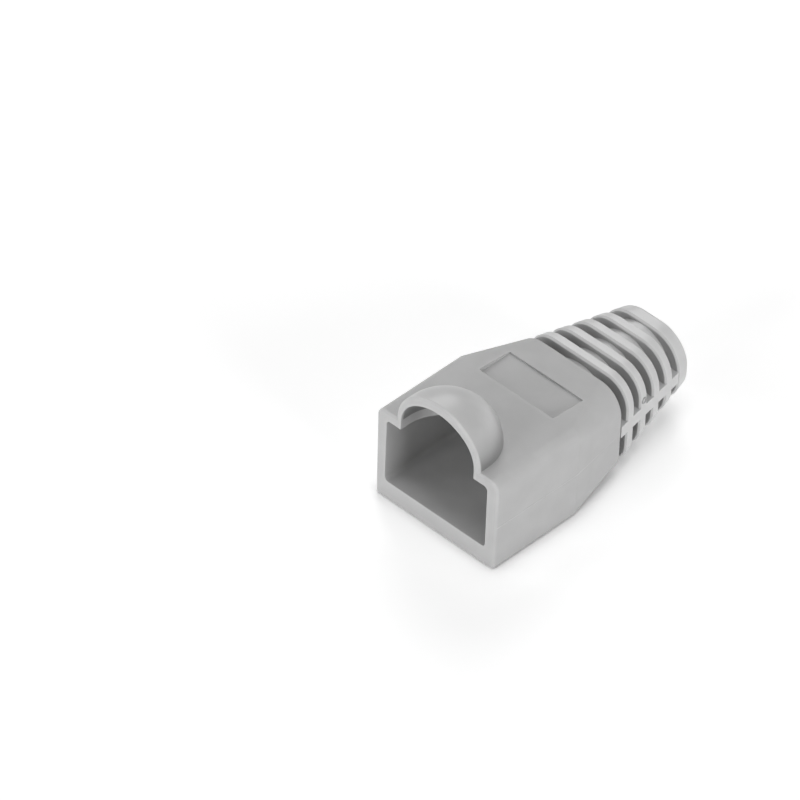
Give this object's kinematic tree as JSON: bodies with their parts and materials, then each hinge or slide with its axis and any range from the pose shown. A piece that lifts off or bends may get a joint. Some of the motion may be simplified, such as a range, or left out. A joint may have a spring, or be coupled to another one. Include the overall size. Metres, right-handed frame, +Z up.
{
  "type": "rj45 strain relief boot",
  "caption": "Soft grey slip-on boot for a modular network plug, with a hollow latch hood, a label recess and a slotted, tapering cable sleeve.",
  "frame": {"origin": "on the floor below the middle of the boot's length and width", "axes": "+Y along the cable from the open mouth to the cable end, +Z up through the top face with the hood"},
  "size_m": [0.0142, 0.0266, 0.014],
  "materials": {
    "soft_pvc": "moulded satin, grey"
  },
  "bodies": {
    "root": {"boot": "soft_pvc"}
  },
  "joints": []
}
